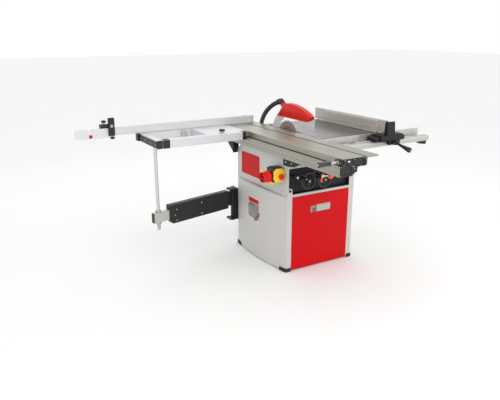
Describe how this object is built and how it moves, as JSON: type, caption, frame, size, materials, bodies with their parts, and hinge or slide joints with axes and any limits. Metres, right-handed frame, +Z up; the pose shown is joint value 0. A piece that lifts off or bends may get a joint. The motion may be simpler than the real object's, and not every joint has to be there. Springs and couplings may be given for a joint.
{
  "type": "panel saw",
  "caption": "Floor-standing panel saw: sliding table with outrigger, crosscut fence and swing arm, tilting blade with riving knife, hood and hose, rip fence on a front rail.",
  "frame": {"origin": "middle of the machine's footprint box, on the floor", "axes": "+X to the operator's right, across the cut; +Y along the cut, away from the operator; +Z up"},
  "size_m": [2.195, 1.336, 1.0697],
  "materials": {
    "grey_paint": "semi-gloss powder coat",
    "red_paint": "gloss paint",
    "black_paint": "satin black powder coat",
    "black_plastic": "moulded, satin",
    "red_plastic": "moulded, gloss",
    "orange_plastic": "moulded, gloss",
    "yellow_plastic": "moulded, gloss",
    "aluminium": "anodised extrusion",
    "white_aluminium": "pale anodised extrusion",
    "cast_iron": "ground top, cast ribs",
    "steel": "machined",
    "chrome": "plated",
    "rubber": "matt"
  },
  "bodies": {
    "base": {"lower_cabinet": "grey_paint", "upper_cabinet": "grey_paint", "front_panel": "red_paint", "control_panel": "black_paint", "foot_1": "rubber", "foot_2": "rubber", "foot_3": "rubber", "foot_4": "rubber", "switch_box": "black_plastic", "power_inlet": "red_plastic", "base_beam": "aluminium", "beam_bracket_front": "black_paint", "beam_bracket_rear": "black_paint", "arm_bracket": "black_paint", "arm_pin": "steel", "saw_table": "cast_iron", "table_insert": "aluminium", "rail_angle": "aluminium", "front_rail": "aluminium", "trunnion_front": "cast_iron", "trunnion_rear": "cast_iron"},
    "lid": {"switch_lid": "yellow_plastic"},
    "stop": {"stop_button": "red_plastic"},
    "height_control": {"height_wheel": "black_plastic"},
    "tilt_control": {"tilt_wheel": "black_plastic"},
    "height_clamp": {"height_lock": "black_plastic"},
    "tilt_clamp": {"tilt_lock": "orange_plastic"},
    "cage": {"roller_carriage": "steel"},
    "carriage": {"sliding_table": "aluminium", "push_handle": "black_plastic", "outrigger_front_profile": "white_aluminium", "outrigger_rear_profile": "white_aluminium", "outrigger_end_profile": "black_paint", "outrigger_plate": "aluminium"},
    "outrigger_clamp": {"outrigger_knob": "black_plastic"},
    "fence": {"crosscut_fence": "white_aluminium"},
    "extension": {"fence_extension": "white_aluminium"},
    "extension_clamp": {"extension_knob": "black_plastic"},
    "stop_saddle": {"stop_block": "black_paint"},
    "flip_stop": {"stop_bar": "black_paint"},
    "stop_clamp": {"stop_knob": "black_plastic"},
    "swing_arm": {"outer_arm": "black_paint"},
    "arm_slide": {"inner_tube": "aluminium", "support_rod": "chrome"},
    "rip_fence": {"fence_head": "black_paint", "rip_fence_bar": "aluminium", "rip_fence_face": "aluminium"},
    "rip_lever": {"fence_lever": "black_plastic"},
    "tilt_unit": {"tilt_carriage": "cast_iron"},
    "saw_unit": {"lift_unit": "cast_iron", "motor": "black_paint", "drive_belt": "rubber", "blade_hood": "black_paint", "riving_knife": "steel", "dust_hose": "rubber"},
    "spindle": {"arbor": "steel", "saw_blade": "steel"},
    "drive": {"motor_pulley": "steel"},
    "guard": {"blade_guard": "red_plastic", "guard_elbow": "rubber"}
  },
  "joints": [
    {"name": "table_slide", "type": "slide", "parent": "base", "child": "carriage", "axis": [0, 1, 0], "range_m": [-0.6, 0]},
    {"name": "cage_slide", "type": "slide", "parent": "base", "child": "cage", "axis": [0, 1, 0], "range_m": [-0.3, 0]},
    {"name": "outrigger_knob_turn", "type": "hinge", "parent": "carriage", "child": "outrigger_clamp", "pos_m": [-0.1955, 0.375, 0.87], "axis": [0, 0, 1], "range_deg": [0, 180]},
    {"name": "fence_swivel", "type": "hinge", "parent": "carriage", "child": "fence", "pos_m": [0.1345, 0.638, 0.87], "axis": [0, 0, 1], "range_deg": [-45, 30]},
    {"name": "extension_slide", "type": "slide", "parent": "fence", "child": "extension", "axis": [1, 0, 0], "range_m": [-0.4, 0]},
    {"name": "extension_knob_turn", "type": "hinge", "parent": "fence", "child": "extension_clamp", "pos_m": [-0.8585, 0.638, 0.86], "axis": [0, 0, 1], "range_deg": [0, 180]},
    {"name": "stop_slide", "type": "slide", "parent": "fence", "child": "stop_saddle", "axis": [1, 0, 0], "range_m": [0, 0.8]},
    {"name": "stop_flip", "type": "hinge", "parent": "stop_saddle", "child": "flip_stop", "pos_m": [-0.8685, 0.614, 0.936], "axis": [0, 1, 0], "range_deg": [0, 90]},
    {"name": "stop_knob_turn", "type": "hinge", "parent": "stop_saddle", "child": "stop_clamp", "pos_m": [-0.9105, 0.638, 0.95], "axis": [0, 0, 1], "range_deg": [0, 180]},
    {"name": "arm_swing", "type": "hinge", "parent": "base", "child": "swing_arm", "pos_m": [-0.0225, 0.546, 0.304], "axis": [0, 0, 1], "range_deg": [0, 37]},
    {"name": "arm_extend", "type": "slide", "parent": "swing_arm", "child": "arm_slide", "axis": [-0.9774, -0.2114, 0], "range_m": [0, 0.323]},
    {"name": "rip_fence_slide", "type": "slide", "parent": "base", "child": "rip_fence", "axis": [1, 0, 0], "range_m": [-0.35, 0.24]},
    {"name": "rip_lever_lift", "type": "hinge", "parent": "rip_fence", "child": "rip_lever", "pos_m": [0.7515, -0.277, 0.812], "axis": [-1, 0, 0], "range_deg": [0, 60]},
    {"name": "blade_tilt", "type": "hinge", "parent": "base", "child": "tilt_unit", "pos_m": [0.2425, 0.24, 0.87], "axis": [0, 1, 0], "range_deg": [0, 45]},
    {"name": "blade_lift", "type": "slide", "parent": "tilt_unit", "child": "saw_unit", "axis": [0, 0, 1], "range_m": [-0.068, 0.008]},
    {"name": "blade_spin", "type": "hinge", "parent": "saw_unit", "child": "spindle", "pos_m": [0.2425, 0.24, 0.812], "axis": [1, 0, 0], "continuous": true},
    {"name": "motor_spin", "type": "hinge", "parent": "saw_unit", "child": "drive", "pos_m": [0.3725, 0.24, 0.6], "axis": [1, 0, 0], "continuous": true},
    {"name": "guard_lift", "type": "hinge", "parent": "saw_unit", "child": "guard", "pos_m": [0.2425, 0.304, 0.97], "axis": [-1, 0, 0], "range_deg": [0, 25], "deforming": ["dust_hose"]},
    {"name": "height_wheel_turn", "type": "hinge", "parent": "base", "child": "height_control", "pos_m": [0.1345, -0.156, 0.612], "axis": [0, 1, 0], "range_deg": [-6120, 720]},
    {"name": "tilt_wheel_turn", "type": "hinge", "parent": "base", "child": "tilt_control", "pos_m": [0.2615, -0.156, 0.606], "axis": [0, 1, 0], "range_deg": [0, 7200]},
    {"name": "height_lock_turn", "type": "hinge", "parent": "base", "child": "height_clamp", "pos_m": [0.0415, -0.126, 0.648], "axis": [0, 1, 0], "range_deg": [0, 180]},
    {"name": "tilt_lock_turn", "type": "hinge", "parent": "base", "child": "tilt_clamp", "pos_m": [0.1975, -0.126, 0.65], "axis": [0, -1, 0], "range_deg": [0, 60]},
    {"name": "switch_lid_open", "type": "hinge", "parent": "base", "child": "lid", "pos_m": [-0.0775, -0.0743, 0.654], "axis": [0, 0, -1], "range_deg": [0, 110]},
    {"name": "stop_press", "type": "slide", "parent": "lid", "child": "stop", "axis": [0, 1, 0], "range_m": [0, 0.005], "stiffness_N_per_m": 800, "springref_m": -0.003}
  ],
  "couplings": [
    {"joint": "cage_slide", "follows": "table_slide", "ratio": 0.5},
    {"joint": "arm_swing", "follows": "table_slide", "rad_per_m": -1.0752},
    {"joint": "arm_extend", "follows": "table_slide", "ratio": -0.538},
    {"joint": "motor_spin", "follows": "blade_spin", "ratio": 1},
    {"joint": "height_wheel_turn", "follows": "blade_lift", "rad_per_m": 1570.8},
    {"joint": "tilt_wheel_turn", "follows": "blade_tilt", "ratio": 160}
  ]
}
